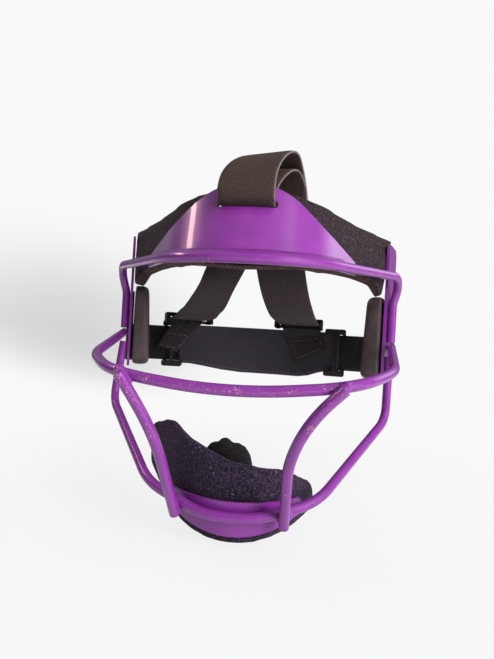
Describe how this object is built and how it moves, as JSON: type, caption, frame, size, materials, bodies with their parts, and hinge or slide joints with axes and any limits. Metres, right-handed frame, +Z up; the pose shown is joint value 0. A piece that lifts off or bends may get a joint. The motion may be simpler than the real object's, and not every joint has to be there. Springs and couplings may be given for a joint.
{
  "type": "softball face guard",
  "caption": "Wire face mask for fielding: bent steel rods and plates welded into an open cage, with brow, temple and chin pads and an elastic head harness with sliders.",
  "frame": {"origin": "centre of the head opening, midway between the temple plates at the height of their middle", "axes": "+Z up as worn, the face looks towards -Y, +X is the wearer's left"},
  "size_m": [0.1838, 0.154, 0.1958],
  "materials": {
    "painted_steel": "gloss, chipped along the front",
    "hook_tape": "matt",
    "brow_pad_cloth": "matt, brushed",
    "leatherette": "satin",
    "fleece": "matt, looped",
    "elastic": "matt, woven",
    "webbing": "satin, woven",
    "slider_plastic": "gloss"
  },
  "bodies": {
    "mask": {"brow_plate": "painted_steel", "brow_wire": "painted_steel", "eye_wire": "painted_steel", "chin_wire": "painted_steel", "left_cheek_wire": "painted_steel", "right_cheek_wire": "painted_steel", "left_side_plate": "painted_steel", "right_side_plate": "painted_steel", "chin_plate": "painted_steel", "brow_patch": "hook_tape", "left_side_patch": "hook_tape", "right_side_patch": "hook_tape", "chin_patch": "hook_tape", "brow_pad": "brow_pad_cloth", "left_side_pad": "leatherette", "right_side_pad": "leatherette", "chin_pad": "fleece", "chin_liner": "fleece", "top_strap": "elastic", "rear_band": "elastic", "left_crown_strap": "elastic", "right_crown_strap": "elastic", "left_anchor_tab": "elastic", "right_anchor_tab": "elastic", "left_side_webbing": "webbing", "right_side_webbing": "webbing"},
    "left_rear_slider_body": {"left_rear_slider": "slider_plastic"},
    "right_rear_slider_body": {"right_rear_slider": "slider_plastic"},
    "left_crown_slider_body": {"left_crown_slider": "slider_plastic"},
    "right_crown_slider_body": {"right_crown_slider": "slider_plastic"}
  },
  "joints": [
    {"name": "right_rear_slide", "type": "slide", "parent": "mask", "child": "right_rear_slider_body", "axis": [0.9921, -0.1253, 0], "range_m": [-0.0015, 0.0105]},
    {"name": "left_rear_slide", "type": "slide", "parent": "mask", "child": "left_rear_slider_body", "axis": [-0.9921, -0.1253, 0], "range_m": [0, 0.006]},
    {"name": "right_crown_slide", "type": "slide", "parent": "mask", "child": "right_crown_slider_body", "axis": [-0.102, -0.9921, 0.073], "range_m": [0, 0.018]},
    {"name": "left_crown_slide", "type": "slide", "parent": "mask", "child": "left_crown_slider_body", "axis": [0.3983, -0.9165, 0.0373], "range_m": [0, 0.009]}
  ]
}
